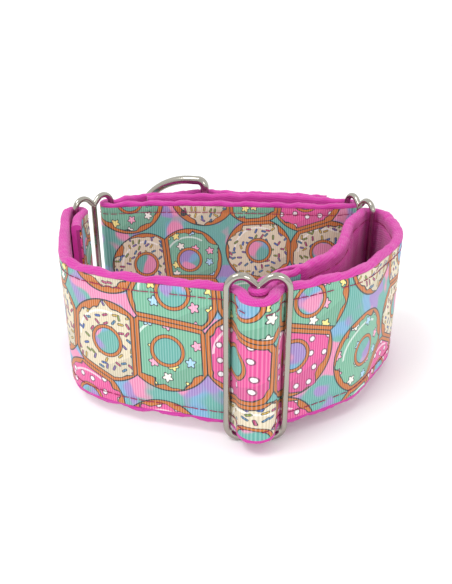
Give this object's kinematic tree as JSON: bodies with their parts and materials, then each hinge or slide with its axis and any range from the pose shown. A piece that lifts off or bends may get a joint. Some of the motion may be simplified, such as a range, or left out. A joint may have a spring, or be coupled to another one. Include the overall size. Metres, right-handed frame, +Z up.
{
  "type": "martingale collar",
  "caption": "Wide padded martingale dog collar with a ribbon face, a sliding three-bar adjuster and a control loop with a D-ring for the leash.",
  "frame": {"origin": "bottom centre of the collar's box, on the surface that it stands on", "axes": "+Z up, along the width of the strap; +X to the right, seen from the slider's side; +Y from the slider at the front towards the control loop and D-ring at the back"},
  "size_m": [0.1374, 0.1356, 0.0615],
  "materials": {
    "lining": "padded satin lining, magenta, with a twill roll at both edges",
    "webbing": "woven webbing core",
    "ribbon": "printed grosgrain ribbon",
    "nickel": "polished nickel-plated wire"
  },
  "bodies": {
    "neck_band": {"neck_lining_left_side": "lining", "neck_webbing_left_side": "webbing", "neck_ribbon_left_side": "ribbon", "neck_lining_front": "lining", "neck_webbing_front": "webbing", "neck_ribbon_front": "ribbon", "neck_lining_beside_slider": "lining", "neck_webbing_beside_slider": "webbing", "neck_ribbon_beside_slider": "ribbon", "neck_lining_right_side": "lining", "neck_webbing_right_side": "webbing", "neck_ribbon_right_side": "ribbon", "loop_lining_near_left": "lining", "loop_webbing_near_left": "webbing", "loop_ribbon_near_left": "ribbon", "loop_lining_near_middle": "lining", "loop_webbing_near_middle": "webbing", "loop_ribbon_near_middle": "ribbon", "loop_lining_near_right": "lining", "loop_webbing_near_right": "webbing", "loop_ribbon_near_right": "ribbon"},
    "left_ring_end": {"neck_lining_left_end": "lining", "neck_webbing_left_end": "webbing", "neck_ribbon_left_end": "ribbon", "loop_lining_left_end": "lining", "loop_webbing_left_end": "webbing", "loop_ribbon_left_end": "ribbon", "loop_lining_left_leg": "lining", "loop_webbing_left_leg": "webbing", "loop_ribbon_left_leg": "ribbon", "left_ring": "nickel"},
    "right_ring_end": {"neck_lining_right_end": "lining", "neck_webbing_right_end": "webbing", "neck_ribbon_right_end": "ribbon", "loop_lining_right_end": "lining", "loop_webbing_right_end": "webbing", "loop_ribbon_right_end": "ribbon", "loop_lining_right_leg": "lining", "loop_webbing_right_leg": "webbing", "loop_ribbon_right_leg": "ribbon", "right_ring": "nickel"},
    "slider": {"neck_lining_at_slider": "lining", "neck_webbing_at_slider": "webbing", "neck_ribbon_at_slider": "ribbon", "slider": "nickel"},
    "loop_left": {"loop_lining_centre_left": "lining", "loop_webbing_centre_left": "webbing", "loop_ribbon_centre_left": "ribbon"},
    "loop_right": {"loop_lining_centre_right": "lining", "loop_webbing_centre_right": "webbing", "loop_ribbon_centre_right": "ribbon"},
    "d_ring": {"d_ring": "nickel"}
  },
  "joints": [
    {"name": "cinch", "type": "slide", "parent": "neck_band", "child": "left_ring_end", "axis": [1, 0, 0], "range_m": [0, 0.01], "deforming": ["neck_lining_left_side", "neck_webbing_left_side", "neck_ribbon_left_side", "loop_lining_near_left", "loop_webbing_near_left", "loop_ribbon_near_left"]},
    {"name": "right_cinch", "type": "slide", "parent": "neck_band", "child": "right_ring_end", "axis": [-1, 0, 0], "range_m": [0, 0.01], "deforming": ["neck_lining_right_side", "neck_webbing_right_side", "neck_ribbon_right_side", "loop_lining_near_right", "loop_webbing_near_right", "loop_ribbon_near_right"]},
    {"name": "loop_left_draw", "type": "slide", "parent": "left_ring_end", "child": "loop_left", "axis": [-0.2822, 0.9594, 0], "range_m": [0, 0.03544], "deforming": ["loop_lining_left_leg", "loop_webbing_left_leg", "loop_ribbon_left_leg"]},
    {"name": "loop_right_draw", "type": "slide", "parent": "right_ring_end", "child": "loop_right", "axis": [0.2822, 0.9594, 0], "range_m": [0, 0.03544], "deforming": ["loop_lining_right_leg", "loop_webbing_right_leg", "loop_ribbon_right_leg"]},
    {"name": "slider_adjust", "type": "slide", "parent": "neck_band", "child": "slider", "axis": [-1, 0, 0], "range_m": [-0.004, 0.012], "deforming": ["neck_lining_beside_slider", "neck_webbing_beside_slider", "neck_ribbon_beside_slider"]},
    {"name": "d_ring_swing", "type": "hinge", "parent": "loop_left", "child": "d_ring", "pos_m": [-0.0099, 0.05656, 0.03075], "axis": [0, 0, -1], "range_deg": [-6, 145]}
  ],
  "couplings": [
    {"joint": "right_cinch", "follows": "cinch", "ratio": 1},
    {"joint": "loop_left_draw", "follows": "cinch", "ratio": 3.544},
    {"joint": "loop_right_draw", "follows": "cinch", "ratio": 3.544}
  ]
}
